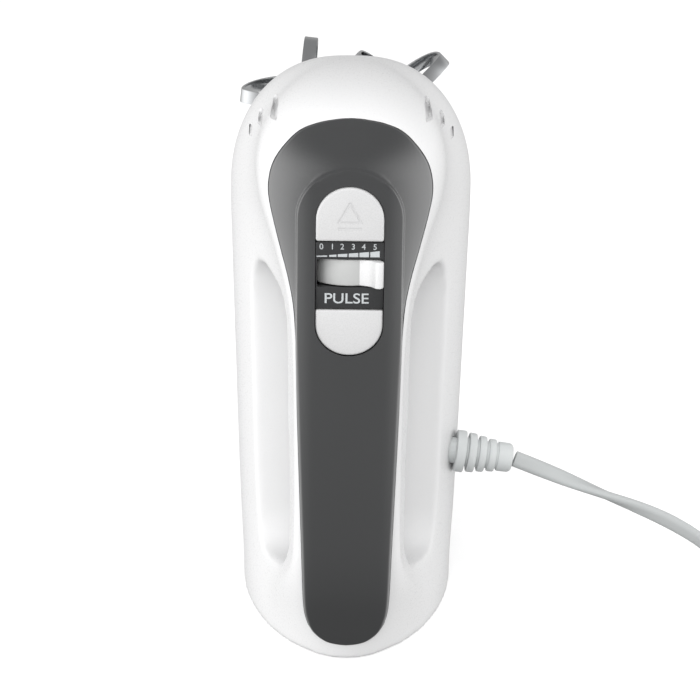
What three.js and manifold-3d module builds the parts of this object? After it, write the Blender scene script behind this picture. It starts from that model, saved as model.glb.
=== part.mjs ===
import * as THREE from 'three'
import { mergeVertices } from 'three/addons/utils/BufferGeometryUtils.js'
import Module from 'manifold-3d'

const wasm = await Module()
wasm.setup()

// Driving dimensions in millimetres. The mixer stands on its heel at z = 0, nose up,
// with the handle towards -Y and the beaters towards +Y.
const WALL = 2.6
const GAP = 0.3
const NOSE_START = 148
const NOSE_HEIGHT = 46.3
const BODY_HALF_WIDTH = 42.5
const UNDERSIDE_Y = 60
const SPLIT_Y = 28
const WIDEST_Y = 26
const MOTOR_Y = 26
const BEATER_X = 19
const BEATER_Z = 166.8
const WORM_PITCH = 1.4 * Math.PI
const WORM_ROOT = 3.8
const WORM_CREST = 6.1
const GEAR_TEETH = 20
const GEAR_ROOT = 12.4
const GEAR_TIP = 15.0
const SHAFT_R = 2.5
const BEATER_R = 25.5
const STRIP_WIDTH = 5.2
const STRIP_THICK = 1.1
const EJECT_TRAVEL = 6
const PULSE_TRAVEL = 2.5
const CORD_WIDTH = 5.8
const CORD_THICK = 3.6

// Height z, handle surface y, half width of the handle dome, y where the dome ends, body half width.
const BODY_STATIONS = [
  [0, -50.5, 30, -21, 38.4],
  [12, -55, 24.5, -31, 38.6],
  [28, -60.4, 19.5, -48, 39.4],
  [46, -64, 17.6, -56, 40],
  [75, -66.8, 17.4, -58, 40.8],
  [105, -67.2, 17.8, -58, 41.6],
  [124, -66.8, 19.5, -55, 42.1],
  [140, -65.8, 24, -47, 42.5],
  [156, -65.8, 30, -36, 42.5],
  [172, -66.0, 34, -28, 42.5],
  [196, -66.0, 36, -22, 42.5],
]

// Height z and half width of the dark handle cover.
const COVER_STATIONS = [
  [7.4, 4.2],
  [8.7, 7.4],
  [12.0, 10.7],
  [16.5, 12.6],
  [24, 13.8],
  [45, 14.4],
  [78, 15.4],
  [106, 16.3],
  [122, 17.1],
  [132, 18.9],
  [141, 21.4],
  [150.2, 23.8],
  [157.4, 25.3],
  [162.7, 25.2],
  [168, 23.7],
  [173.2, 20.3],
  [177.4, 15.6],
  [179.6, 9.9],
  [181, 4.2],
]

// Height z and y of the cover's raised centre.
const PLATEAU_STATIONS = [
  [0, -52.1],
  [12, -56.6],
  [28, -62],
  [46, -65.6],
  [75, -68.4],
  [105, -68.8],
  [124, -68.4],
  [140, -67.2],
  [150, -66.6],
  [170, -66.5],
]
const PLATEAU_HALF_WIDTH = 16.4
const PLATEAU_TOP = 167.6
const PLATEAU_SHOULDER = 152

const group = new THREE.Group()
group.name = 'hand_mixer'

const WHITE = [0xf2f2f0, 0.35, 0]
const DARK = [0x4b4c4e, 0.42, 0]
const BUTTON = [0xf4f4f4, 0.3, 0]
const CORD_GREY = [0xccd0d0, 0.5, 0]
const STEEL = [0xc8ccd0, 0.2, 1]
const COPPER = [0xb87333, 0.35, 1]
const IRON = [0x6d7074, 0.45, 1]
const NYLON = [0xe6e2d6, 0.5, 0]
const BLACK = [0x2a2a2c, 0.5, 0]
const GREEN = [0x2f6b3c, 0.5, 0]
const CARBON = [0x303030, 0.7, 0]
const BRASS = [0xc9a24a, 0.3, 1]

function solidOf(geometry) {
  const plain = geometry.clone()
  plain.deleteAttribute('normal')
  plain.deleteAttribute('uv')
  const merged = mergeVertices(plain, 1e-4)
  const vertProperties = new Float32Array(merged.attributes.position.array)
  const triVerts = new Uint32Array(merged.index.array)
  return new wasm.Manifold(new wasm.Mesh({ numProp: 3, vertProperties, triVerts }))
}

function geometryOf(solid) {
  const mesh = solid.getMesh()
  const geometry = new THREE.BufferGeometry()
  geometry.setAttribute('position', new THREE.BufferAttribute(mesh.vertProperties, 3))
  geometry.setIndex(new THREE.BufferAttribute(mesh.triVerts, 1))
  return geometry
}

function add(name, solid, look) {
  const geometry = geometryOf(solid)
  geometry.computeVertexNormals()
  const [color, roughness, metalness] = look
  const mesh = new THREE.Mesh(geometry, new THREE.MeshStandardMaterial({ color, roughness, metalness }))
  mesh.name = name
  group.add(mesh)
}

// A smooth curve through stations, read at one height.
function along(stations, z, column) {
  const last = stations.length - 1
  let i = 0
  while (i < last - 1 && z > stations[i + 1][0]) {
    i += 1
  }
  const a = stations[i]
  const b = stations[i + 1]
  const before = stations[Math.max(i - 1, 0)]
  const after = stations[Math.min(i + 2, last)]
  const span = b[0] - a[0]
  const t = Math.min(Math.max((z - a[0]) / span, 0), 1)
  const slopeA = ((b[column] - before[column]) / (b[0] - before[0])) * span
  const slopeB = ((after[column] - a[column]) / (after[0] - a[0])) * span
  const t2 = t * t
  const t3 = t2 * t
  return (2 * t3 - 3 * t2 + 1) * a[column] + (t3 - 2 * t2 + t) * slopeA
    + (3 * t2 - 2 * t3) * b[column] + (t3 - t2) * slopeB
}

function smoothStep(t) {
  const c = Math.min(Math.max(t, 0), 1)
  return c * c * (3 - 2 * c)
}

// How much of its full section the nose keeps at height z.
function noseShare(z, height) {
  const t = Math.min(Math.max((z - NOSE_START) / height, 0), 1)
  return Math.pow(1 - Math.pow(t, 2.1), 1 / 2.2)
}

// The handle side stays forward longer than the sides before it turns over the nose.
function frontShare(z, height) {
  const t = Math.min(Math.max((z - NOSE_START) / height, 0), 1)
  return Math.pow(1 - Math.pow(t, 4), 1 / 2.2)
}

// The heel is a full oval; it turns into the narrow handle and wide housing above the finger gap.
function heelShare(z) {
  return 1 - smoothStep(z / 40)
}

function sectionSizes(z, inset) {
  const share = noseShare(z, NOSE_HEIGHT - inset)
  const ahead = frontShare(z, NOSE_HEIGHT - inset)
  const centre = 8
  return {
    front: centre + (along(BODY_STATIONS, z, 1) + inset * 2.4 - centre) * ahead,
    dome: (along(BODY_STATIONS, z, 2) - inset) * share,
    domeEnd: centre + (along(BODY_STATIONS, z, 3) - centre) * ahead,
    half: (along(BODY_STATIONS, z, 4) - inset) * share,
    widest: centre + (WIDEST_Y - centre) * share,
    back: centre + (UNDERSIDE_Y - inset - centre) * share,
  }
}

// The handle's narrow dome for t up to 1, and the flank that widens behind it up to 2.
function domePoint(s, t) {
  if (t < 1) {
    const x = s.dome * Math.pow(Math.sin(t * Math.PI / 2), 0.85)
    const y = s.domeEnd + (s.front - s.domeEnd) * Math.pow(Math.cos(t * Math.PI / 2), 0.85)
    return [x, y]
  }
  const x = s.dome + (s.half - s.dome) * smoothStep(t - 1)
  return [x, s.domeEnd + (s.widest - s.domeEnd) * (t - 1)]
}

// One full oval from the handle side, at t 0, to the widest point, at t 2.
function ovalPoint(s, t) {
  const angle = t * Math.PI / 4
  const x = s.half * Math.pow(Math.sin(angle), 1.11)
  const y = s.widest + (s.front - s.widest) * Math.pow(Math.cos(angle), 1.11)
  return [x, y]
}

// Right half of one level section of the body, from the handle side round to the underside.
function halfSection(z, inset) {
  const s = sectionSizes(z, inset)
  const heel = heelShare(z)
  const points = []
  for (let i = 0; i < 11; i += 1) {
    const t = i < 5 ? i / 5 : 1 + (i - 5) / 6
    const [x, y] = domePoint(s, t)
    const [ovalX, ovalY] = ovalPoint(s, t)
    points.push([x + (ovalX - x) * heel, y + (ovalY - y) * heel])
  }
  for (let i = 0; i <= 6; i += 1) {
    const angle = (i / 6) * Math.PI / 2
    const x = s.half * Math.pow(Math.cos(angle), 0.62)
    const y = s.widest + (s.back - s.widest) * Math.pow(Math.sin(angle), 0.62)
    points.push([x, y])
  }
  return points
}

function bodyRing(z, inset) {
  const right = halfSection(z, inset)
  const left = right.slice(1, -1).reverse().map(([x, y]) => [-x, y])
  right[0][0] = 0
  right[right.length - 1][0] = 0
  return [...right, ...left].map(([x, y]) => [x, y, z])
}

// A closed solid through level rings that hold the same number of points each.
function loft(rings) {
  const count = rings[0].length
  const position = rings.flat().flat()
  const index = []
  for (let r = 0; r < rings.length - 1; r += 1) {
    for (let i = 0; i < count; i += 1) {
      const a = r * count + i
      const b = r * count + (i + 1) % count
      index.push(a, b, a + count, b, b + count, a + count)
    }
  }
  const first = rings[0].map(([x, y]) => new THREE.Vector2(x, y))
  const top = (rings.length - 1) * count
  for (const [a, b, c] of THREE.ShapeUtils.triangulateShape(first, [])) {
    index.push(c, b, a)
  }
  const lastRing = rings[rings.length - 1].map(([x, y]) => new THREE.Vector2(x, y))
  for (const [a, b, c] of THREE.ShapeUtils.triangulateShape(lastRing, [])) {
    index.push(top + a, top + b, top + c)
  }
  const geometry = new THREE.BufferGeometry()
  geometry.setAttribute('position', new THREE.Float32BufferAttribute(position, 3))
  geometry.setIndex(index)
  const solid = solidOf(geometry)
  return solid
}

function bodyForm(inset) {
  const low = inset > 0 ? 3.2 : 0
  const levels = inset > 0 ? [low, 14, 28, 46, 75, 105, 126, 138, NOSE_START]
    : [0, 1.2, 4, 12, 22, 32, 44, 62, 84, 105, 120, 130, 139, NOSE_START]
  const rings = levels.map((z) => bodyRing(z, inset))
  const steps = inset > 0 ? 7 : 10
  for (let i = 1; i <= steps; i += 1) {
    const lift = Math.sin((i / (steps + 0.35)) * Math.PI / 2)
    rings.push(bodyRing(NOSE_START + (NOSE_HEIGHT - inset) * lift, inset))
  }
  if (inset === 0) {
    rings[0] = rings[0].map(([x, y, z]) => [x * 0.982, (y - 8) * 0.985 + 8, z])
    rings[1] = rings[1].map(([x, y, z]) => [x * 0.998, (y - 8) * 0.998 + 8, z])
  }
  return loft(rings)
}

// A flat outline in x and z, drawn out along Y between two depths.
function plateY(outline, y0, y1, holes = []) {
  const shape = new THREE.Shape(outline.map(([x, z]) => new THREE.Vector2(x, -z)))
  for (const hole of holes) {
    shape.holes.push(new THREE.Path(hole.map(([x, z]) => new THREE.Vector2(x, -z))))
  }
  const geometry = new THREE.ExtrudeGeometry(shape, { depth: y1 - y0, bevelEnabled: false })
  geometry.rotateX(-Math.PI / 2)
  geometry.translate(0, y0, 0)
  return solidOf(geometry)
}

// A flat outline in x and y, drawn out along Z.
function plateZ(outline, z0, z1) {
  const shape = new THREE.Shape(outline.map(([x, y]) => new THREE.Vector2(x, y)))
  const geometry = new THREE.ExtrudeGeometry(shape, { depth: z1 - z0, bevelEnabled: false })
  geometry.translate(0, 0, z0)
  return solidOf(geometry)
}

// A flat outline in y and z, drawn out along X.
function plateX(outline, x0, x1) {
  const shape = new THREE.Shape(outline.map(([y, z]) => new THREE.Vector2(y, z)))
  const geometry = new THREE.ExtrudeGeometry(shape, { depth: x1 - x0, bevelEnabled: false })
  geometry.applyMatrix4(new THREE.Matrix4().makeBasis(
    new THREE.Vector3(0, 1, 0),
    new THREE.Vector3(0, 0, 1),
    new THREE.Vector3(1, 0, 0),
  ))
  geometry.translate(x0, 0, 0)
  return solidOf(geometry)
}

function block(x0, x1, y0, y1, z0, z1) {
  const geometry = new THREE.BoxGeometry(x1 - x0, y1 - y0, z1 - z0)
  geometry.translate((x0 + x1) / 2, (y0 + y1) / 2, (z0 + z1) / 2)
  return solidOf(geometry)
}

// A turned solid: the profile is radius and distance along the axis, from axis to axis.
function turned(profile, axis, origin, sides = 24) {
  const points = profile.map(([r, d]) => new THREE.Vector2(r, d))
  const geometry = new THREE.LatheGeometry(points, sides)
  const up = new THREE.Vector3(0, 1, 0)
  const to = new THREE.Vector3(...axis).normalize()
  geometry.applyQuaternion(new THREE.Quaternion().setFromUnitVectors(up, to))
  geometry.translate(...origin)
  const solid = solidOf(geometry)
  return solid
}

function rod(radius, axis, origin, length, sides = 24) {
  return turned([[0, 0], [radius, 0], [radius, length], [0, length]], axis, origin, sides)
}

function tube(outer, inner, axis, origin, length, sides = 24) {
  const profile = [[inner, 0], [outer, 0], [outer, length], [inner, length], [inner, 0]]
  return turned(profile, axis, origin, sides)
}

// A wire or cable through points, with an oval section.
function swept(points, wide, thick, sides, steps) {
  const shape = new THREE.Shape()
  for (let i = 0; i < sides; i += 1) {
    const angle = (i / sides) * Math.PI * 2
    const x = (thick / 2) * Math.cos(angle)
    const y = (wide / 2) * Math.sin(angle)
    if (i === 0) {
      shape.moveTo(x, y)
    } else {
      shape.lineTo(x, y)
    }
  }
  shape.closePath()
  const path = new THREE.CatmullRomCurve3(points.map((p) => new THREE.Vector3(...p)))
  return solidOf(new THREE.ExtrudeGeometry(shape, { steps, extrudePath: path, bevelEnabled: false }))
}

function roundedOutline(u0, u1, v0, v1, radius, steps = 4) {
  const corners = [[u1 - radius, v1 - radius, 0], [u0 + radius, v1 - radius, 1],
    [u0 + radius, v0 + radius, 2], [u1 - radius, v0 + radius, 3]]
  const points = []
  for (const [cu, cv, quarter] of corners) {
    for (let i = 0; i <= steps; i += 1) {
      const angle = (quarter + i / steps) * Math.PI / 2
      points.push([cu + radius * Math.cos(angle), cv + radius * Math.sin(angle)])
    }
  }
  return points
}

// The finger gap between handle and motor housing, seen from the side.
function fingerGapOutline(grow) {
  const corners = [
    [-42 - grow, 29 - grow],
    [-8 + grow, 23 - grow],
    [-8 + grow, 133 + grow],
    [-42 - grow, 121 + grow],
  ]
  const radius = 13 + grow
  const points = []
  corners.forEach(([y, z], i) => {
    const here = new THREE.Vector2(y, z)
    const back = new THREE.Vector2(...corners[(i + 3) % 4]).sub(here).normalize()
    const next = new THREE.Vector2(...corners[(i + 1) % 4]).sub(here).normalize()
    const half = Math.acos(back.dot(next)) / 2
    const cut = radius / Math.tan(half)
    const a = here.clone().addScaledVector(back, cut)
    const b = here.clone().addScaledVector(next, cut)
    const curve = new THREE.QuadraticBezierCurve(a, here, b)
    for (const p of curve.getPoints(5)) {
      points.push([p.x, p.y])
    }
  })
  return points
}

// Outer surface of the handle side at one x and height, without the raised cover centre.
function handleSurface(x, z) {
  const points = halfSection(z, 0)
  const reach = Math.abs(x)
  for (let i = 1; i < points.length; i += 1) {
    const [x0, y0] = points[i - 1]
    const [x1, y1] = points[i]
    if (reach <= x1) {
      return y0 + (y1 - y0) * (reach - x0) / Math.max(x1 - x0, 1e-6)
    }
  }
  return WIDEST_Y
}

function plateauHalfWidth(z) {
  if (z <= PLATEAU_SHOULDER) {
    return PLATEAU_HALF_WIDTH
  }
  const rise = (z - PLATEAU_SHOULDER) / (PLATEAU_TOP - PLATEAU_SHOULDER)
  return rise >= 1 ? 0 : PLATEAU_HALF_WIDTH * Math.sqrt(1 - rise * rise)
}

function plateauY(x, z) {
  return along(PLATEAU_STATIONS, z, 1) + 0.0022 * x * x + 0.03 * Math.pow(Math.max(Math.abs(x) - 11, 0), 2)
}

// Outer surface of the cover: a raised centre whose arch runs out into the flared head.
function coverSurface(x, z) {
  const ridge = 0.9 * Math.exp(-Math.pow(x / 12, 2) - Math.pow((z - PLATEAU_TOP - 1) / 7, 2))
  const base = handleSurface(x, z) - 0.35 - ridge
  const half = plateauHalfWidth(z)
  const inside = z > PLATEAU_SHOULDER
    ? (1 - Math.hypot(x / PLATEAU_HALF_WIDTH, (z - PLATEAU_SHOULDER) / (PLATEAU_TOP - PLATEAU_SHOULDER)))
      * PLATEAU_HALF_WIDTH
    : half - Math.abs(x)
  const blend = smoothStep((inside + 1.6) / 3.2)
  return base + (Math.min(plateauY(x, z), base) - base) * blend
}

function coverRing(z, grow, outward, inward) {
  const half = along(COVER_STATIONS, z, 1) + grow
  const count = 12
  const over = []
  const under = []
  for (let i = 0; i <= count; i += 1) {
    const u = (i / count) * 2 - 1
    const x = half * Math.sin(u * Math.PI / 2 * 0.92) / Math.sin(Math.PI / 2 * 0.92)
    over.push([x, coverSurface(x, z) - outward, z])
    under.push([x, handleSurface(x, z) + inward, z])
  }
  return [...over, ...under.reverse()]
}

function coverForm(grow, outward, inward) {
  const levels = COVER_STATIONS.map(([z]) => z)
  levels.splice(6, 0, 62)
  levels.splice(5, 0, 34)
  const first = levels[0] - grow
  const last = levels[levels.length - 1] + grow
  levels[0] = first
  levels[levels.length - 1] = last
  levels.sort((a, b) => a - b)
  return loft(levels.map((z) => coverRing(z, grow, outward, inward)))
}

// Outline of the opening that holds both buttons and the scale plate.
function panelOutline(grow) {
  const points = []
  const half = 10.35 + grow
  for (let i = 0; i <= 12; i += 1) {
    const angle = (i / 12) * Math.PI
    points.push([half * Math.cos(angle), 152.2 + (10 + grow) * Math.sin(angle)])
  }
  for (let i = 0; i <= 12; i += 1) {
    const angle = (i / 12) * Math.PI
    points.push([-half * Math.cos(angle), 119.6 - (9.6 + grow) * Math.sin(angle)])
  }
  return points
}

function ejectOutline() {
  const points = [[10.35, 145.8]]
  for (let i = 0; i <= 12; i += 1) {
    const angle = (i / 12) * Math.PI
    points.push([10.35 * Math.cos(angle), 152.2 + 10 * Math.sin(angle)])
  }
  points.push([-10.35, 145.8])
  return points
}

function pulseOutline() {
  const points = [[-10.35, 124.3]]
  for (let i = 0; i <= 12; i += 1) {
    const angle = (i / 12) * Math.PI
    points.push([-10.35 * Math.cos(angle), 119.6 - 9.6 * Math.sin(angle)])
  }
  points.push([10.35, 124.3])
  return points
}

const SCREWS = [[34, 140], [-34, 140], [31, 17], [-31, 17]]
const EXIT = [38.5, 8, 54.6]
const EXIT_AXIS = [0.991, 0, -0.13]

function screwPosts(outer) {
  return SCREWS.map(([x, z]) => outer.intersect(rod(5, [0, 1, 0], [x, 4, z], 60, 16)))
}

function ventCuts() {
  const cuts = []
  for (const side of [1, -1]) {
    for (const [x, z, top, deep] of [[25.2, 176.8, 190, -9], [30.2, 172.4, 186, -2], [34, 168.6, 181, 5]]) {
      const a = side * (x - 1.3)
      const b = side * (x + 1.1)
      cuts.push(block(Math.min(a, b), Math.max(a, b), -60, deep, z, top))
    }
  }
  return cuts
}

function housings() {
  const outer = bodyForm(0)
  const gap = plateX(fingerGapOutline(0), -60, 60)
  const gapWall = plateX(fingerGapOutline(WALL), -60, 60)
  const hollow = bodyForm(WALL).subtract(gapWall)
  let shell = outer.subtract(gap).subtract(hollow)
  for (const post of screwPosts(outer)) {
    shell = shell.add(post)
  }
  let main = shell.subtract(block(-60, 60, SPLIT_Y, 80, -5, 210))
  main = main.subtract(coverForm(GAP, 6, 3.0))
  main = main.subtract(plateY(roundedOutline(-12.5, 12.5, 105, 166, 3), -80, -52))
  main = main.subtract(rod(5.0, EXIT_AXIS, [EXIT[0] - 12 * EXIT_AXIS[0], EXIT[1], EXIT[2] + 1.56], 30))
  main = main.subtract(rod(6.3, EXIT_AXIS, [EXIT[0] - 16 * EXIT_AXIS[0], EXIT[1], EXIT[2] + 2.08], 11.7))
  main = main.subtract(rod(8.2, EXIT_AXIS, [EXIT[0] - 0.3, EXIT[1], EXIT[2]], 30))
  for (const cut of ventCuts()) {
    main = main.subtract(cut)
  }
  let lower = shell.subtract(block(-60, 60, -90, SPLIT_Y + GAP, -5, 210))
  for (const [x, z] of SCREWS) {
    main = main.subtract(rod(1.9, [0, 1, 0], [x, 10, z], 40, 12))
    lower = lower.subtract(rod(1.9, [0, 1, 0], [x, 10, z], 60, 12))
    lower = lower.subtract(rod(3.7, [0, 1, 0], [x, 40, z], 40, 16))
  }
  for (const side of [1, -1]) {
    lower = lower.subtract(rod(6.2, [0, 1, 0], [side * BEATER_X, 20, BEATER_Z], 60, 20))
  }
  add('main_housing', main, WHITE)
  add('lower_housing', lower, WHITE)
}

function screws() {
  SCREWS.forEach(([x, z], i) => {
    const profile = [[0, 13], [1.5, 13], [1.5, 40.4], [3.2, 40.4], [3.2, 42], [2.2, 42.8], [0, 42.8]]
    const slot = block(x - 2, x + 2, 42, 44, z - 0.4, z + 0.4)
    const cross = block(x - 0.4, x + 0.4, 42, 44, z - 2, z + 2)
    const screw = turned(profile, [0, 1, 0], [x, 0, z], 14).subtract(slot).subtract(cross)
    add(`housing_screw_${i + 1}`, screw, STEEL)
  })
}

function handleCover() {
  const cover = coverForm(0, 0, 2.7)
  add('handle_cover', cover.subtract(plateY(panelOutline(GAP), -90, -40)), DARK)
}

// The speed control is a drum that turns on an upright pin, with a thumb fin that stands out of its window.
const DRUM_Y = -54.9
const DRUM_R = 11.6
const DRUM_LOW = 131.6
const DRUM_HIGH = 139.8
const PANEL_Y = -66.9

function drumArc(from, to, steps) {
  const points = []
  for (let i = 0; i <= steps; i += 1) {
    const angle = THREE.MathUtils.degToRad(from + ((to - from) * i) / steps)
    points.push([DRUM_R * Math.sin(angle), DRUM_Y - DRUM_R * Math.cos(angle)])
  }
  return points
}

function speedDrum() {
  const fin = [[5.2, -66.9], [6.8, -68.4], [7.8, -70.1], [8.5, -70.6], [9.4, -70.5], [10.2, -69.6], [10.4, -68.4],
    [9.8, -66.9], [9.6, -65], [9.45, -63.6]]
  const hub = [[2.6, DRUM_Y + 2.4], [-2.6, DRUM_Y + 2.4]]
  const outline = [...drumArc(-62, 16, 10), ...fin, ...drumArc(52, 128, 9), ...hub]
  const drum = plateZ(outline, DRUM_LOW, DRUM_HIGH)
  return drum.add(rod(2, [0, 0, 1], [0, DRUM_Y, 126.6], 8, 14))
}

function controls() {
  const window = roundedOutline(-10.0, 10.1, 131.3, 140.1, 0.5, 1)
  const lip = plateY(roundedOutline(-10.35, 10.35, 124.7, 145.4, 0.4, 1), PANEL_Y, -63.4)
  add('control_plate', lip.subtract(plateY(window, -90, -40)), DARK)
  add('speed_drum', speedDrum(), BUTTON)
  const socket = rod(2.3, [0, 0, 1], [0, DRUM_Y, 126.3], 10, 14)
  add('speed_switch', block(-9.5, 9.5, -61, -46, 125.2, 131.1).subtract(socket), BLACK)
  const ejectGuide = plateY(roundedOutline(-13.2, 13.2, 142.5, 165, 2, 2), -52, -50)
  add('eject_guide', ejectGuide.subtract(block(-3.4, 3.4, -60, -40, 149.6, 156.4)), NYLON)
  const pulseGuide = plateY(roundedOutline(-13.2, 13.2, 106, 124.6, 2, 2), -52, -50)
  add('pulse_guide', pulseGuide.subtract(block(-3.4, 3.4, -60, -40, 114, 120.8)), NYLON)
  add('pulse_microswitch', block(-6, 6, -49.6, -45.4, 112.5, 123.5), BLACK)
  const cap = plateY(ejectOutline(), -68.2, -62.4)
  const hollow = rod(6.3, [0, 1, 0], [0, -66.4, 153], 8, 20)
  add('eject_button', cap.subtract(hollow), BUTTON)
  const stem = block(-3, 3, -66.0, 2, 150, 156)
  const yoke = block(-23, 23, 1, 4, 150, 170)
  let plunger = stem.add(yoke)
  for (const side of [1, -1]) {
    plunger = plunger.add(rod(2.1, [0, 1, 0], [side * BEATER_X, 3, BEATER_Z], 9, 12))
  }
  add('eject_plunger', plunger, NYLON)
  const pulseCap = plateY(pulseOutline(), -67.8, -62.4)
  const pulseHollow = rod(5.9, [0, 1, 0], [0, -66, 117.4], 8, 20)
  const pulseStem = block(-3, 3, -66.4, -52.4, 114.4, 120.4)
  add('pulse_button', pulseCap.subtract(pulseHollow).add(pulseStem), BUTTON)
  add('eject_spring', spring(0, 153, -66.0, -52.4, 5.2, 3.5), STEEL)
  add('pulse_spring', spring(0, 117.4, -65.6, -52.4, 5.1, 3.5), STEEL)
}

// A round compression spring along Y.
function spring(x, z, y0, y1, radius, turns) {
  const points = []
  const count = Math.round(turns * 10)
  for (let i = 0; i <= count; i += 1) {
    const angle = (i / 10) * Math.PI * 2
    const y = y0 + 0.7 + (y1 - y0 - 1.4) * (i / count)
    points.push([x + radius * Math.cos(angle), y, z + radius * Math.sin(angle)])
  }
  return swept(points, 0.7, 0.7, 5, count)
}

function rotor() {
  const axis = [0, 0, 1]
  const shaft = [[0, 54], [2.4, 54], [2.4, 157], [0, 157]]
  const rows = []
  const around = 16
  const length = 20
  const perTurn = 8
  const steps = Math.round(length / WORM_PITCH * perTurn)
  for (let j = 0; j <= steps; j += 1) {
    const z = BEATER_Z - length / 2 + (length * j) / steps
    const ring = []
    for (let i = 0; i < around; i += 1) {
      const angle = (i / around) * Math.PI * 2
      const phase = z - BEATER_Z - WORM_PITCH * (angle / (2 * Math.PI))
      const turn = phase / WORM_PITCH
      const off = Math.abs(turn - Math.round(turn)) * WORM_PITCH
      const height = 1 - smoothStep((off - 0.35) / 0.75)
      const edge = Math.min(j, steps - j) < 2 ? 0 : 1
      const r = WORM_ROOT + (WORM_CREST - WORM_ROOT) * height * edge
      ring.push([r * Math.cos(angle), MOTOR_Y + r * Math.sin(angle), z])
    }
    rows.push(ring)
  }
  const worm = loft(rows)
  const spindle = turned(shaft, axis, [0, MOTOR_Y, 0], 16)
  const tail = rod(2.0, axis, [0, MOTOR_Y, 174], 8, 16)
  add('armature_shaft', spindle.add(worm).add(tail), STEEL)
  add('armature_core', tube(14.7, 2.7, axis, [0, MOTOR_Y, 92], 26, 24), IRON)
  add('armature_winding_rear', tube(12.2, 2.7, axis, [0, MOTOR_Y, 86.5], 5.2, 20), COPPER)
  add('armature_winding_front', tube(12.2, 2.7, axis, [0, MOTOR_Y, 118.3], 5.2, 20), COPPER)
  add('commutator', tube(8, 2.7, axis, [0, MOTOR_Y, 72], 12, 20), COPPER)
  fan()
}

function fan() {
  let wheel = tube(22, 2.7, [0, 0, 1], [0, MOTOR_Y, 128], 1.6, 24)
  wheel = wheel.add(tube(6, 2.7, [0, 0, 1], [0, MOTOR_Y, 129], 9, 16))
  for (let i = 0; i < 9; i += 1) {
    const blade = block(5, 21, -0.6, 0.6, 129, 138)
    const angle = (i / 9) * 360
    wheel = wheel.add(blade.rotate([0, 0, angle]).translate([0, MOTOR_Y, 0]))
  }
  const hub = rod(2.7, [0, 0, 1], [0, MOTOR_Y, 120], 30, 16)
  add('cooling_fan', wheel.subtract(hub), NYLON)
}

function gearOutline(phase) {
  const points = []
  for (let i = 0; i < GEAR_TEETH; i += 1) {
    const mid = ((i + phase) / GEAR_TEETH) * Math.PI * 2
    for (const [r, width] of [[GEAR_ROOT, -1.0], [GEAR_TIP, -0.42], [GEAR_TIP, 0.42], [GEAR_ROOT, 1.0]]) {
      const angle = mid + width / r
      points.push([r * Math.cos(angle), r * Math.sin(angle)])
    }
  }
  return points
}

function gears() {
  for (const [name, side, phase] of [['left', -1, 0], ['right', 1, 0.5]]) {
    const outline = gearOutline(phase).map(([x, z]) => [x + side * BEATER_X, z + BEATER_Z])
    const wheel = plateY(outline, MOTOR_Y - 3, MOTOR_Y + 3)
    const origin = [side * BEATER_X, 0, BEATER_Z]
    const bore = rod(5.3, [0, 1, 0], origin, 60, 20)
    add(`worm_gear_${name}`, wheel.subtract(bore), NYLON)
    const sleeve = tube(5, SHAFT_R + 0.3, [0, 1, 0], [side * BEATER_X, 14, BEATER_Z], 42, 20)
    add(`beater_socket_${name}`, sleeve, STEEL)
  }
}

function gearboxFrame() {
  let frame = plateY(roundedOutline(-27, 27, 144, 176, 4, 3), 36, 40)
  frame = frame.add(plateY(roundedOutline(-27, 27, 144, 172, 3, 2), 15, 18))
  frame = frame.add(block(-27, 27, 15, 40, 142, 147))
  for (const side of [1, -1]) {
    const x0 = Math.min(side * 23, side * 27)
    frame = frame.add(block(x0, x0 + 4, 16, 36, 118.4, 143))
    frame = frame.subtract(rod(5.3, [0, 1, 0], [side * BEATER_X, 0, BEATER_Z], 60, 20))
  }
  frame = frame.subtract(rod(6.5, [0, 0, 1], [0, MOTOR_Y, 130], 30, 20))
  frame = frame.subtract(rod(7, [0, 0, 1], [0, MOTOR_Y, 148], 40, 20))
  add('gearbox_frame', frame, [0xb9bdc1, 0.45, 0.8])
  add('front_bearing', tube(6.2, 2.7, [0, 0, 1], [0, MOTOR_Y, 142], 5, 20), BRASS)
}

function stator() {
  const outline = roundedOutline(-26.5, 26.5, MOTOR_Y - 26.5, MOTOR_Y + 26.5, 6, 3)
  let core = plateZ(outline, 92, 118)
  core = core.subtract(rod(15.5, [0, 0, 1], [0, MOTOR_Y, 80], 60, 28))
  for (const side of [1, -1]) {
    for (const end of [1, -1]) {
      const x = side * 16.8
      const y = MOTOR_Y + end * 16.7
      core = core.subtract(block(x - 4.1, x + 4.1, y - 4.6, y + 4.6, 80, 130))
    }
  }
  add('stator_core', core, IRON)
  for (const [name, end] of [['upper', -1], ['lower', 1]]) {
    const y = MOTOR_Y + end * 16.8
    const ring = plateY(roundedOutline(-20.5, 20.5, 86, 124, 4, 2), y - 4, y + 4)
    const opening = block(-13, 13, y - 6, y + 6, 91.7, 118.3)
    add(`field_coil_${name}`, ring.subtract(opening), COPPER)
  }
}

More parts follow.
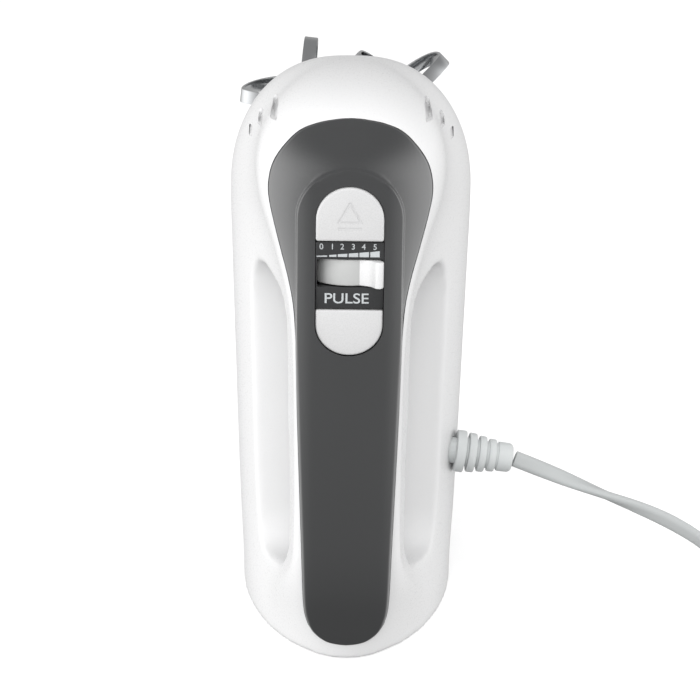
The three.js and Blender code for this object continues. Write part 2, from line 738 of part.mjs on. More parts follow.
function rearBracket() {
  let bracket = block(-26.5, 26.5, MOTOR_Y - 8, MOTOR_Y + 8, 56, 61)
  for (const side of [1, -1]) {
    const x0 = Math.min(side * 22, side * 26)
    bracket = bracket.add(block(x0, x0 + 4, MOTOR_Y - 8, MOTOR_Y + 8, 60, 91.7))
  }
  bracket = bracket.subtract(rod(6.5, [0, 0, 1], [0, MOTOR_Y, 50], 20, 20))
  add('rear_bracket', bracket, [0xb9bdc1, 0.45, 0.8])
  add('rear_bearing', tube(6.2, 2.7, [0, 0, 1], [0, MOTOR_Y, 56], 5, 20), BRASS)
  for (const [name, side] of [['left', -1], ['right', 1]]) {
    const a = side * 10
    const b = side * 21.7
    const box = block(Math.min(a, b), Math.max(a, b), MOTOR_Y - 4, MOTOR_Y + 4, 73, 83)
    const hole = block(-30, 30, MOTOR_Y - 2.4, MOTOR_Y + 2.4, 75, 81)
    add(`brush_holder_${name}`, box.subtract(hole), BRASS)
    const c = side * 8.3
    const d = side * 17
    const brush = block(Math.min(c, d), Math.max(c, d), MOTOR_Y - 2.1, MOTOR_Y + 2.1, 75.3, 80.7)
    add(`carbon_brush_${name}`, brush, CARBON)
  }
}

function rearElectrics() {
  let board = block(-24, 24, 32, 33.6, 10, 46)
  for (const [x, z, r, h] of [[-12, 20, 5, 10], [8, 34, 4, 8]]) {
    board = board.add(rod(r, [0, -1, 0], [x, 32.5, z], h, 14))
  }
  board = board.add(block(2, 18, 22, 32.5, 14, 24))
  add('circuit_board', board, GREEN)
  const clamp = block(20, 29.5, 2, 14, 49, 53)
  add('cord_clamp', clamp.add(block(20, 29.5, 2, 4, 49, 62)), NYLON)
}

function strainRelief() {
  const profile = [[0, -7], [6, -7], [6, -4.6], [4.7, -4.6], [4.7, 0], [7.6, 0], [7.6, 3.4], [5.2, 3.6], [5.2, 4.4],
    [7.1, 4.6], [7.1, 7.2], [5, 7.4], [5, 8.2], [6.5, 8.4], [6.5, 10.8], [4.8, 11], [4.8, 11.8],
    [5.9, 12], [5.9, 14.4], [4.6, 14.6], [4.6, 15.2], [5.3, 15.4], [5.3, 20], [4.2, 20.6], [0, 20.6]]
  add('strain_relief', turned(profile, EXIT_AXIS, EXIT, 14), CORD_GREY)
}

const COIL = [196, 44]
const PLUG = [229.5, 70]

// The lead wound for storage, as one ring. Scale 1 is the coil; the tie is a slightly larger band round it.
function coilRing(scale) {
  const profile = [[25.5, 0.6], [34.5, 0.6], [36.2, 3], [36.2, 9], [34, 11.2], [26, 11.2], [23.8, 9], [23.8, 3],
    [25.5, 0.6]]
  const grown = profile.map(([r, z]) => [30 + (r - 30) * scale, 5.9 + (z - 5.9) * scale])
  return turned(grown, [0, 0, 1], [...COIL, 0], 28)
}

function mainsLead() {
  const hang = [[60.0, 8, 51.7], [72.8, 8, 46.6], [92.6, 8, 38.6], [105.5, 8, 33.6], [117, 8, 28.4],
    [128, 8, 21.8], [138, 8, 13.6], [147, 8, 7.2], [156, 8, 4.2], [166, 8.4, 3.2], [174, 9, 3.1]]
  add('power_cord', swept(hang, CORD_WIDTH, CORD_THICK, 8, 32), CORD_GREY)
  add('cord_coil', coilRing(1), CORD_GREY)
  const band = coilRing(1.3).subtract(coilRing(1.07)).intersect(block(150, 190, COIL[1] - 3, COIL[1] + 3, -9, 40))
  add('cord_tie', band.intersect(block(150, 190, 30, 60, 0.05, 40)), BLACK)
  const lead = [[PLUG[0], 65.6, 9], [PLUG[0], 69, 8.5], [PLUG[0], 73.4, 7.8]]
  add('plug_lead', swept(lead, CORD_WIDTH, CORD_THICK, 8, 3), CORD_GREY)
  plug()
}

// A flat two-pin plug that lies on the worktop beside the coil.
function plug() {
  const [x, y] = PLUG
  const shift = (points) => points.map(([u, v]) => [u + x, v])
  let body = plateY(shift(roundedOutline(-7, 7, 0.4, 14.6, 5, 4)), y + 10, y + 26)
  body = body.add(plateY(shift(roundedOutline(-13.5, 13.5, 0.4, 14.6, 6.5, 4)), y + 24, y + 38))
  body = body.add(rod(4.6, [0, 1, 0], [x, y + 4.4, 7.6], 8, 14))
  for (const side of [1, -1]) {
    const at = x + side * 9.5
    body = body.subtract(rod(2.4, [0, 1, 0], [at, y + 30.4, 7.5], 20, 14))
    const tip = [[0, 31], [2, 31], [2, 56], [1.4, 57], [0, 57]]
    const name = side > 0 ? 'plug_pin_right' : 'plug_pin_left'
    add(name, turned(tip, [0, 1, 0], [at, y, 7.5], 14), BRASS)
  }
  add('plug_body', body, CORD_GREY)
}

// One flat wire loop: up one side of the cage, over the shoulder, and down the other.
function loopOutline(offset) {
  const side = [[6, 98.4], [14, 98.6], [21, 100.4], [24.6, 104], [BEATER_R, 109.5], [25.2, 118], [23.6, 132],
    [20.2, 148], [15.4, 163], [10, 175], [5.6, 182], [2.6, 185.2]]
  const curve = new THREE.SplineCurve(side.map(([r, y]) => new THREE.Vector2(r, y)))
  const points = curve.getPoints(15)
  const outline = []
  points.forEach((p, i) => {
    const ahead = points[Math.min(i + 1, points.length - 1)]
    const behind = points[Math.max(i - 1, 0)]
    const along2 = ahead.clone().sub(behind).normalize()
    outline.push([p.x - along2.y * offset, p.y + along2.x * offset])
  })
  return outline
}

function wireLoop(nested) {
  const outer = loopOutline(0)
  const squeeze = nested ? 0.962 : 1
  const grow = (points) => points.map(([r, y]) => [r * (nested ? 0.985 : 1), 140 + (y - 140) * squeeze])
  const out = grow(outer)
  const inn = grow(loopOutline(STRIP_THICK))
  const loop = (side) => [...side, ...side.slice().reverse().map(([r, y]) => [-r, y])]
  const shape = new THREE.Shape(loop(out).map(([x, y]) => new THREE.Vector2(x, y)))
  shape.holes.push(new THREE.Path(loop(inn).map(([x, y]) => new THREE.Vector2(x, y))))
  const geometry = new THREE.ExtrudeGeometry(shape, { depth: STRIP_WIDTH, bevelEnabled: false })
  geometry.translate(0, 0, -STRIP_WIDTH / 2)
  return solidOf(geometry)
}

function beaters() {
  for (const [name, side, turn] of [['left', -1, 6], ['right', 1, 45]]) {
    const at = [side * BEATER_X, 0, BEATER_Z]
    const shaftProfile = [[0, 18.4], [1.6, 18.4], [SHAFT_R, 20.5], [SHAFT_R, 176], [1.3, 178], [1.3, 186.4],
      [0, 186.4]]
    const shaft = turned(shaftProfile, [0, 1, 0], at, 16)
    const bore = rod(SHAFT_R + 0.15, [0, 1, 0], at, 176.5, 16).add(rod(1.5, [0, 1, 0], at, 200, 16))
    add(`beater_shaft_${name}`, shaft, STEEL)
    const collar = [[SHAFT_R + 0.2, 64], [6.5, 64], [7.4, 65.4], [7.4, 67.6], [5, 69.4], [SHAFT_R + 0.2, 69.4],
      [SHAFT_R + 0.2, 64]]
    add(`beater_collar_${name}`, turned(collar, [0, 1, 0], at, 14), BLACK)
    for (const [letter, quarter, nested] of [['a', 0, 0], ['b', 90, 1]]) {
      const loop = wireLoop(nested).rotate([0, turn + quarter, 0]).translate(at)
      add(`beater_loop_${name}_${letter}`, loop.subtract(bore), STEEL)
    }
  }
}

housings()
screws()
handleCover()
controls()
rotor()
gears()
gearboxFrame()
stator()
rearBracket()
rearElectrics()
strainRelief()
mainsLead()
beaters()

export default group
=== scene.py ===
import math

import bmesh
import bpy
from mathutils import Matrix, Vector


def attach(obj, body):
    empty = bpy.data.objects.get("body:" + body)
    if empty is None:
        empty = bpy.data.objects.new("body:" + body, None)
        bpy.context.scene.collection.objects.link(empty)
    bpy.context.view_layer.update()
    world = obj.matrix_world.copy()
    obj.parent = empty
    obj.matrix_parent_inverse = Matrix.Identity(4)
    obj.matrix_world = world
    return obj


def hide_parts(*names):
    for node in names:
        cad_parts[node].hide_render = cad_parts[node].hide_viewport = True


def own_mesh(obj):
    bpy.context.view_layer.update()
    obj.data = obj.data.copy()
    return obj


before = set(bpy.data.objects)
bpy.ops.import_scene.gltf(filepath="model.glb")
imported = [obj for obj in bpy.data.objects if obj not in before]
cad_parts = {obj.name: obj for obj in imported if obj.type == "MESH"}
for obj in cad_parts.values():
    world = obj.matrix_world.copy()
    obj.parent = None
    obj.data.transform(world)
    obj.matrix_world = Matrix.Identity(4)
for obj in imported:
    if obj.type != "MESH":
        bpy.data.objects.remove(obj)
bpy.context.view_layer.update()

MM = 0.001
ALONG_Y = (0, 1, 0)

# Driving dimensions in millimetres, the same as in the CAD.
# The mixer stands on its heel with the nose up, the handle towards -Y, the beaters towards +Y
# and the lead towards +X.
WALL = 2.6
GAP = 0.3
NOSE_START = 148
NOSE_HEIGHT = 46.3
UNDERSIDE_Y = 60
WIDEST_Y = 26
SPLIT_Y = 28
BEATER_X = 19
BEATER_Z = 166.8
SHAFT_R = 2.5
STRIP_WIDTH = 5.2
STRIP_THICK = 1.1
DRUM_Y = -54.9
DRUM_R = 11.6
DRUM_LOW = 131.6
DRUM_HIGH = 139.8
PANEL_Y = -66.9
BUTTON_HALF = 10.35
EJECT_Z = 152.2
EJECT_RISE = 10
PULSE_Z = 119.6
PULSE_DROP = 9.6
CORD_WIDTH = 5.8
CORD_THICK = 3.6
COIL = (196, 44)
PLUG = (229.5, 70)
EXIT = Vector((38.5, 8, 54.6))
EXIT_AXIS = Vector((0.991, 0, -0.13))

# The gap between handle and motor housing, seen from the side: its corners, y and z, and their radius.
FINGER_GAP = [(-42, 29), (-8, 23), (-8, 133), (-42, 121)]
FINGER_GAP_R = 13

# Housing screws, x and z, with the radii of each one's post, bore and counterbore.
SCREWS = [(34, 140), (-34, 140), (31, 17), (-31, 17)]
SCREW_POST_R = 5
SCREW_BORE_R = 1.9
SCREW_HEAD_R = 3.7
SCREW_POST_START = 4
SCREW_HEAD_Y = 40

# Openings in the housings: the beaters' holes, and the lead's bore with the pockets of its sleeve.
BEATER_HOLE_R = 6.2
EXIT_BORE_R = 5.0
EXIT_FLANGE_R = 6.3
EXIT_COLLAR_R = 8.2

# Each shoulder vent: middle x, width, lowest and highest z, the y that it reaches, and its depth.
VENTS = [
    (24.5, 2.6, 179.0, 183.4, -9, 1.5),
    (30.1, 1.8, 173.8, 178.0, -2, 1.1),
    (33.9, 1.3, 168.8, 171.9, 5, 0.5),
]
# Heights of the five air slots on the beater side, their half length, radius and depth.
AIR_SLOTS = (66, 74, 82, 90, 98)
AIR_SLOT_HALF = 15
AIR_SLOT_R = 1.6
AIR_SLOT_DEPTH = 1.5

# Height z, handle surface y, half width of the handle dome, y where the dome ends, body half width.
BODY_STATIONS = [
    (0, -50.5, 30, -21, 38.4),
    (12, -55, 24.5, -31, 38.6),
    (28, -60.4, 19.5, -48, 39.4),
    (46, -64, 17.6, -56, 40),
    (75, -66.8, 17.4, -58, 40.8),
    (105, -67.2, 17.8, -58, 41.6),
    (124, -66.8, 19.5, -55, 42.1),
    (140, -65.8, 24, -47, 42.5),
    (156, -65.8, 30, -36, 42.5),
    (172, -66.0, 34, -28, 42.5),
    (196, -66.0, 36, -22, 42.5),
]

# Height z and half width of the dark handle cover.
COVER_STATIONS = [
    (7.4, 4.2), (8.7, 7.4), (12.0, 10.7), (16.5, 12.6), (24, 13.8), (45, 14.4), (78, 15.4),
    (106, 16.3), (122, 17.1), (132, 18.9), (141, 21.4), (150.2, 23.8), (157.4, 25.3),
    (162.7, 25.2), (168, 23.7), (173.2, 20.3), (177.7, 15.6), (180.1, 9.9), (181.2, 4.2),
]

# Height z and y of the cover's raised centre.
PLATEAU_STATIONS = [
    (0, -52.1), (12, -56.6), (28, -62), (46, -65.6), (75, -68.4), (105, -68.8), (124, -68.4),
    (140, -67.2), (150, -66.6), (170, -66.5),
]
PLATEAU_HALF_WIDTH = 16.4
PLATEAU_TOP = 167.6
PLATEAU_SHOULDER = 152
PLATEAU_EASE = 0.4
COVER_EDGE = 0.9

# Camera: focal length in millimetres, place in metres, tilt and roll in degrees.
CAMERA_LENS = 88.5
CAMERA_PLACE = (0.0004, -0.580, 0.249)
CAMERA_DOWN = 15
CAMERA_ROLL = 0.65

# Studio: the white surroundings' strength ahead and at the sides, and how much less on the right.
FRONT_GLOW = 0.385
SIDE_GLOW = 1.50
SIDE_SKEW = -0.08
SUN_STRENGTH = 1.4
SUN_SPREAD = 50
SUN_FROM = (-0.06, -0.45, 1)


# ---------------------------------------------------------------- camera

def make_camera():
    data = bpy.data.cameras.new("camera")
    data.sensor_width = 36
    data.lens = CAMERA_LENS
    data.clip_start = 0.02
    data.clip_end = 20
    camera = bpy.data.objects.new("camera", data)
    bpy.context.scene.collection.objects.link(camera)
    camera.location = CAMERA_PLACE
    tilt = Matrix.Rotation(math.radians(90 - CAMERA_DOWN), 4, "X")
    roll = Matrix.Rotation(math.radians(CAMERA_ROLL), 4, "Z")
    camera.rotation_euler = (tilt @ roll).to_euler()
    bpy.context.scene.camera = camera


# ---------------------------------------------------------------- materials

def node_material(name, colour, other, patch_scale, roughness, rough_other, grain_scale, bump,
                  **constants):
    """A moulded or metal surface: two close colours in soft patches, a fine grain that varies
    the roughness, and a faint bump. The constants go straight onto the shader's sockets."""
    material = bpy.data.materials.new(name)
    material.use_nodes = True
    nodes = material.node_tree.nodes
    links = material.node_tree.links
    shader = nodes["Principled BSDF"]
    place = nodes.new("ShaderNodeTexCoord")
    patches = nodes.new("ShaderNodeTexNoise")
    patches.inputs["Scale"].default_value = patch_scale
    patches.inputs["Detail"].default_value = 3
    mix = nodes.new("ShaderNodeMix")
    mix.data_type = "RGBA"
    mix.inputs["A"].default_value = (*colour, 1)
    mix.inputs["B"].default_value = (*other, 1)
    grain = nodes.new("ShaderNodeTexNoise")
    grain.inputs["Scale"].default_value = grain_scale
    grain.inputs["Detail"].default_value = 2
    spread = nodes.new("ShaderNodeMapRange")
    spread.inputs["From Min"].default_value = 0.3
    spread.inputs["From Max"].default_value = 0.7
    spread.inputs["To Min"].default_value = roughness
    spread.inputs["To Max"].default_value = rough_other
    relief = nodes.new("ShaderNodeBump")
    relief.inputs["Strength"].default_value = bump
    relief.inputs["Distance"].default_value = 0.0002
    links.new(place.outputs["Object"], patches.inputs["Vector"])
    links.new(place.outputs["Object"], grain.inputs["Vector"])
    links.new(patches.outputs["Fac"], mix.inputs["Factor"])
    links.new(mix.outputs["Result"], shader.inputs["Base Color"])
    links.new(grain.outputs["Fac"], spread.inputs["Value"])
    links.new(spread.outputs["Result"], shader.inputs["Roughness"])
    links.new(grain.outputs["Fac"], relief.inputs["Height"])
    links.new(relief.outputs["Normal"], shader.inputs["Normal"])
    for socket, value in constants.items():
        shader.inputs[socket.replace("_", " ")].default_value = value
    return material


def make_materials():
    plain = node_material
    return {
        "housing": plain("white_housing", (0.715, 0.715, 0.72), (0.735, 0.735, 0.735), 14, 0.26, 0.34,
                         2600, 0.05, Specular_IOR_Level=0.3),
        "cover": plain("slate_cover", (0.018, 0.019, 0.020), (0.021, 0.022, 0.023), 20, 0.30, 0.36,
                       3800, 0.16, Specular_IOR_Level=1.0, Coat_Weight=1.0, Coat_Roughness=0.32),
        "button": plain("white_button", (0.54, 0.54, 0.545), (0.56, 0.56, 0.56), 30, 0.24, 0.32,
                        3000, 0.05, Specular_IOR_Level=0.5),
        "fin": plain("white_fin", (0.66, 0.66, 0.665), (0.68, 0.68, 0.68), 30, 0.24, 0.32, 3000, 0.05,
                     Specular_IOR_Level=0.5),
        "drum": plain("grey_drum", (0.44, 0.445, 0.44), (0.47, 0.475, 0.47), 40, 0.30, 0.38, 3000, 0.06,
                      Specular_IOR_Level=0.3),
        "print": plain("grey_print", (0.44, 0.46, 0.47), (0.48, 0.50, 0.51), 300, 0.45, 0.55, 4000, 0.1),
        "plate": plain("slate_plate", (0.025, 0.0255, 0.0265), (0.028, 0.0285, 0.0295), 20, 0.40, 0.50,
                       3800, 0.2),
        "lead": plain("vinyl_lead", (0.43, 0.445, 0.445), (0.47, 0.485, 0.485), 60, 0.38, 0.48,
                      1800, 0.12),
        "sleeve": plain("vinyl_sleeve", (0.57, 0.59, 0.59), (0.61, 0.63, 0.63), 60, 0.38, 0.48,
                        1800, 0.12),
        "chrome": plain("chrome_strip", (0.50, 0.51, 0.52), (0.55, 0.56, 0.57), 40, 0.07, 0.14, 900, 0.03,
                        Metallic=1.0),
        "steel": plain("turned_steel", (0.55, 0.56, 0.58), (0.63, 0.64, 0.66), 80, 0.22, 0.34, 1500, 0.08,
                       Metallic=1.0),
        "black": plain("black_plastic", (0.022, 0.022, 0.023), (0.03, 0.03, 0.031), 30, 0.36, 0.46,
                       3000, 0.15),
        "nylon": plain("natural_nylon", (0.72, 0.70, 0.64), (0.78, 0.76, 0.70), 40, 0.38, 0.5, 1800, 0.1),
        "zinc": plain("cast_frame", (0.50, 0.51, 0.53), (0.58, 0.59, 0.61), 60, 0.42, 0.58, 900, 0.35,
                      Metallic=0.9),
        "copper": plain("enamelled_copper", (0.55, 0.24, 0.10), (0.66, 0.31, 0.14), 50, 0.25, 0.4,
                        1200, 0.3, Metallic=0.85),
        "iron": plain("motor_iron", (0.20, 0.20, 0.21), (0.27, 0.27, 0.28), 90, 0.42, 0.6, 1500, 0.3,
                      Metallic=0.9),
        "brass": plain("brass", (0.72, 0.52, 0.24), (0.80, 0.60, 0.30), 60, 0.2, 0.32, 1500, 0.08,
                       Metallic=1.0),
        "carbon": plain("carbon", (0.02, 0.02, 0.02), (0.035, 0.035, 0.035), 90, 0.55, 0.7, 1500, 0.4),
        "board": plain("circuit_green", (0.03, 0.14, 0.05), (0.045, 0.19, 0.07), 90, 0.3, 0.42,
                       1500, 0.15),
    }


# ---------------------------------------------------------------- mesh helpers

def link_mesh(name, mesh):
    obj = bpy.data.objects.new(name, mesh)
    bpy.context.scene.collection.objects.link(obj)
    return obj


def mesh_from(name, verts, faces):
    """verts are in millimetres."""
    mesh = bpy.data.meshes.new(name)
    mesh.from_pydata([(x * MM, y * MM, z * MM) for x, y, z in verts], [], faces)
    mesh.validate()
    work = bmesh.new()
    work.from_mesh(mesh)
    bmesh.ops.recalc_face_normals(work, faces=work.faces)
    work.to_mesh(mesh)
    work.free()
    return link_mesh(name, mesh)


def loft(name, rings):
    count = len(rings[0])
    verts = [point for ring in rings for point in ring]
    faces = []
    for r in range(len(rings) - 1):
        for i in range(count):
            j = (i + 1) % count
            a = r * count
            faces.append((a + i, a + j, a + j + count, a + i + count))
    faces.append(tuple(reversed(range(count))))
    faces.append(tuple(range((len(rings) - 1) * count, len(rings) * count)))
    return mesh_from(name, verts, faces)


def prism(name, outline, low, high, axis):
    """A flat outline drawn out along an axis. It is given in the two other axes, in x, y, z order."""
    def place(u, v, w):
        return {"x": (w, u, v), "y": (u, w, v), "z": (u, v, w)}[axis]
    return loft(name, [[place(u, v, low) for u, v in outline], [place(u, v, high) for u, v in outline]])


def turned(name, profile, axis, origin, sides=64, closed=False):
    """A turned solid: the profile is radius and distance along the axis, from axis to axis."""
    turn = Vector((0, 0, 1)).rotation_difference(Vector(axis)).to_matrix()
    start = Vector(origin)
    verts = []
    faces = []
    rows = []
    for r, d in profile:
        if r < 1e-6:
            rows.append([len(verts)])
            verts.append(tuple(start + turn @ Vector((0, 0, d))))
            continue
        row = []
        for i in range(sides):
            angle = 2 * math.pi * i / sides
            row.append(len(verts))
            verts.append(tuple(start + turn @ Vector((r * math.cos(angle), r * math.sin(angle), d))))
        rows.append(row)
    pairs = list(zip(rows, rows[1:]))
    if closed:
        pairs.append((rows[-1], rows[0]))
    for a, b in pairs:
        for i in range(sides):
            j = (i + 1) % sides
            if len(a) == 1 and len(b) == 1:
                continue
            if len(a) == 1:
                faces.append((a[0], b[i], b[j]))
            elif len(b) == 1:
                faces.append((a[i], b[0], a[j]))
            else:
                faces.append((a[i], b[i], b[j], a[j]))
    return mesh_from(name, verts, faces)


def cut(obj, cutter, how="DIFFERENCE"):
    """Takes cutter out of obj, or joins or keeps the common part, and removes cutter."""
    step = obj.modifiers.new("cut", "BOOLEAN")
    step.operation = how
    step.object = cutter
    step.solver = "MANIFOLD"
    bake(obj)
    bpy.data.objects.remove(cutter)
    return obj


def bake(obj):
    """Applies the object's modifiers to its mesh."""
    view = bpy.context.evaluated_depsgraph_get()
    view.update()
    made = bpy.data.meshes.new_from_object(obj.evaluated_get(view))
    obj.modifiers.clear()
    old = obj.data
    obj.data = made
    bpy.data.meshes.remove(old)
    return obj


def bevel(obj, width, segments=3, angle=40):
    step = obj.modifiers.new("edge", "BEVEL")
    step.width = width * MM
    step.segments = segments
    step.limit_method = "ANGLE"
    step.angle_limit = math.radians(angle)
    step.harden_normals = False
    return bake(obj)


def shade(obj, angle=35):
    obj.data.polygons.foreach_set("use_smooth", [True] * len(obj.data.polygons))
    obj.data.set_sharp_from_angle(angle=math.radians(angle))
    return obj


def dress(obj, material, body, *nodes, slot=None, angle=35):
    """Gives the piece its material, its body and the CAD nodes that it stands for."""
    shade(obj, angle)
    obj.data.materials.clear()
    obj.data.materials.append(material)
    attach(obj, body)
    if nodes:
        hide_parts(*nodes)
    return obj


def curve_through(points, steps):
    """A Catmull-Rom curve through given points."""
    made = []
    vectors = [Vector(p) for p in points]
    for i in range(len(vectors) - 1):
        p0 = vectors[max(i - 1, 0)]
        p1 = vectors[i]
        p2 = vectors[i + 1]
        p3 = vectors[min(i + 2, len(vectors) - 1)]
        for k in range(steps):
            t = k / steps
            bend = (2 * p0 - 5 * p1 + 4 * p2 - p3) * t**2
            twist = (3 * p1 - p0 - 3 * p2 + p3) * t**3
            made.append(tuple(0.5 * (2 * p1 + (p2 - p0) * t + bend + twist)))
    made.append(tuple(vectors[-1]))
    return made


def rounded(u0, u1, v0, v1, radius, steps=8):
    corners = [(u1 - radius, v1 - radius, 0), (u0 + radius, v1 - radius, 1),
               (u0 + radius, v0 + radius, 2), (u1 - radius, v0 + radius, 3)]
    points = []
    for cu, cv, quarter in corners:
        for i in range(steps + 1):
            angle = (quarter + i / steps) * math.pi / 2
            points.append((cu + radius * math.cos(angle), cv + radius * math.sin(angle)))
    return points


# ---------------------------------------------------------------- body form

def along(stations, z, column):
    """A smooth curve through stations, read at one height."""
    last = len(stations) - 1
    i = 0
    while i < last - 1 and z > stations[i + 1][0]:
        i += 1
    a, b = stations[i], stations[i + 1]
    before, after = stations[max(i - 1, 0)], stations[min(i + 2, last)]
    span = b[0] - a[0]
    t = min(max((z - a[0]) / span, 0), 1)
    slope_a = (b[column] - before[column]) / (b[0] - before[0]) * span
    slope_b = (after[column] - a[column]) / (after[0] - a[0]) * span
    return ((2 * t**3 - 3 * t**2 + 1) * a[column] + (t**3 - 2 * t**2 + t) * slope_a
            + (3 * t**2 - 2 * t**3) * b[column] + (t**3 - t**2) * slope_b)


def smooth_step(t):
    c = min(max(t, 0), 1)
    return c * c * (3 - 2 * c)


def heel_share(z):
    """How much of the heel's plain oval a section takes, from all of it at the bottom to none."""
    return 1 - smooth_step(z / 40)


def nose_share(z, height):
    t = min(max((z - NOSE_START) / height, 0), 1)
    return (1 - t**2.1) ** (1 / 2.2)


def front_share(z, height):
    """The handle side stays forward longer than the sides before it turns over the nose."""
    t = min(max((z - NOSE_START) / height, 0), 1)
    return (1 - t**4) ** (1 / 2.2)


def section_sizes(z, inset):
    """The measures of one level section, a wall's thickness in where inset is given."""
    share = nose_share(z, NOSE_HEIGHT - inset)
    ahead = front_share(z, NOSE_HEIGHT - inset)
    return {
        "front": 8 + (along(BODY_STATIONS, z, 1) + inset * 2.4 - 8) * ahead,
        "dome": (along(BODY_STATIONS, z, 2) - inset) * share,
        "dome_end": 8 + (along(BODY_STATIONS, z, 3) - 8) * ahead,
        "half": (along(BODY_STATIONS, z, 4) - inset) * share,
        "widest": 8 + (WIDEST_Y - 8) * share,
        "back": 8 + (UNDERSIDE_Y - inset - 8) * share,
    }


def dome_point(s, t):
    """The handle's narrow dome for t up to 1, and the flank that widens behind it up to 2."""
    if t < 1:
        angle = t * math.pi / 2
        y = s["dome_end"] + (s["front"] - s["dome_end"]) * math.cos(angle) ** 0.85
        return s["dome"] * math.sin(angle) ** 0.85, y
    x = s["dome"] + (s["half"] - s["dome"]) * smooth_step(t - 1)
    return x, s["dome_end"] + (s["widest"] - s["dome_end"]) * (t - 1)


def oval_point(s, t):
    """One full oval from the handle side, at t 0, to the widest point, at t 2."""
    angle = t * math.pi / 4
    y = s["widest"] + (s["front"] - s["widest"]) * math.cos(angle) ** 1.11
    return s["half"] * math.sin(angle) ** 1.11, y


def half_section(z, inset, fine=18):
    """Right half of one level section, from the handle side round to the underside."""
    s = section_sizes(z, inset)
    heel = heel_share(z)
    points = []
    for i in range(2 * fine):
        x, y = dome_point(s, i / fine)
        oval_x, oval_y = oval_point(s, i / fine)
        points.append((x + (oval_x - x) * heel, y + (oval_y - y) * heel))
    for i in range(fine + 1):
        angle = i / fine * math.pi / 2
        x = s["half"] * math.cos(angle) ** 0.62 if i < fine else 0
        y = s["widest"] + (s["back"] - s["widest"]) * math.sin(angle) ** 0.62
        points.append((x, y))
    return points


def body_ring(z, inset, fine):
    right = half_section(z, inset, fine)
    left = [(-x, y) for x, y in reversed(right[1:-1])]
    return [(x, y, z) for x, y in right + left]


def body_form(name, inset, fine=18, pitch=2.5):
    low = 3.2 if inset else 0
    rows = round(NOSE_START / pitch)
    levels = [low + (NOSE_START - low) * i / rows for i in range(rows + 1)]
    rings = [body_ring(z, inset, fine) for z in levels]
    steps = 26
    for i in range(1, steps + 1):
        lift = math.sin(i / (steps + 0.3) * math.pi / 2)
        rings.append(body_ring(NOSE_START + (NOSE_HEIGHT - inset) * lift, inset, fine))
    return loft(name, rings)


def finger_gap_outline(grow):
    """The finger gap's outline as y and z, larger all round by grow."""
    outward = [(-1, -1), (1, -1), (1, 1), (-1, 1)]
    corners = [(y + grow * v, z + grow * w) for (y, z), (v, w) in zip(FINGER_GAP, outward)]
    radius = FINGER_GAP_R + grow
    points = []
    for i, corner in enumerate(corners):
        here = Vector(corner)
        back = (Vector(corners[i - 1]) - here).normalized()
        ahead = (Vector(corners[(i + 1) % 4]) - here).normalized()
        reach = radius / math.tan(back.angle(ahead) / 2)
        a, b = here + back * reach, here + ahead * reach
        for k in range(13):
            t = k / 12
            p = a * (1 - t) ** 2 + here * 2 * t * (1 - t) + b * t * t
            points.append((p.x, p.y))
    return points


def handle_surface(x, z, section):
    reach = abs(x)
    for (x0, y0), (x1, y1) in zip(section, section[1:]):
        if reach <= x1:
            return y0 + (y1 - y0) * (reach - x0) / max(x1 - x0, 1e-6)
    return WIDEST_Y


def plateau_edge(z):
    """Half width of the raised centre at one height, nothing above its arch."""
    rise = max(z - PLATEAU_SHOULDER, 0) / (PLATEAU_TOP - PLATEAU_SHOULDER)
    return PLATEAU_HALF_WIDTH * math.sqrt(max(1 - rise * rise, 0))


def plateau_inside(x, z):
    """How far a point lies inside the raised centre's outline, negative outside."""
    if z > PLATEAU_SHOULDER:
        rise = (z - PLATEAU_SHOULDER) / (PLATEAU_TOP - PLATEAU_SHOULDER)
        return (1 - math.hypot(x / PLATEAU_HALF_WIDTH, rise)) * PLATEAU_HALF_WIDTH
    return PLATEAU_HALF_WIDTH - abs(x)


def plateau_y(x, z):
    """The raised centre: nearly flat, and rounded off towards its sides."""
    crown = 0.0022 * x * x + 0.03 * max(abs(x) - 11, 0) ** 2
    return along(PLATEAU_STATIONS, z, 1) + crown


def cover_surface(x, z, section):
    """Outer surface of the cover: a raised centre whose arch runs out into the head."""
    base = handle_surface(x, z, section) - 0.35
    base -= 0.9 * math.exp(-((x / 12) ** 2) - ((z - PLATEAU_TOP - 1) / 7) ** 2)
    blend = smooth_step((plateau_inside(x, z) + PLATEAU_EASE) / (2 * PLATEAU_EASE))
    return base + (min(plateau_y(x, z), base) - base) * blend


def rim_drop(x, half):
    """How far the cover's outer edge is rounded off."""
    depth = min(max((COVER_EDGE - (half - abs(x))) / COVER_EDGE, 0), 1)
    return COVER_EDGE * (1 - math.sqrt(1 - depth * depth))


def cover_row(z, half, count):
    """Positions across the cover, close together where the raised centre's edge crosses the row."""
    gather = 1.445
    even = [half * math.sin((i / count * 2 - 1) * gather) / math.sin(gather) for i in range(count + 1)]
    edge = min(plateau_edge(z), half - 0.6)
    near = smooth_step((edge - 6) / 6)
    reach = PLATEAU_EASE + 0.4
    knots = [0, edge - reach, edge + reach, half]
    third = count // 2 // 3
    right = []
    for i in range(count // 2 + 1):
        k = min(i // third, 2)
        share = (i - k * third) / (third if k < 2 else count // 2 - 2 * third)
        share = math.sin(share * 1.5) / math.sin(1.5) if k == 2 else share
        right.append(knots[k] + (knots[k + 1] - knots[k]) * share)
    gathered = [-x for x in right[:0:-1]] + right
    return [e + (g - e) * near for e, g in zip(even, gathered)]


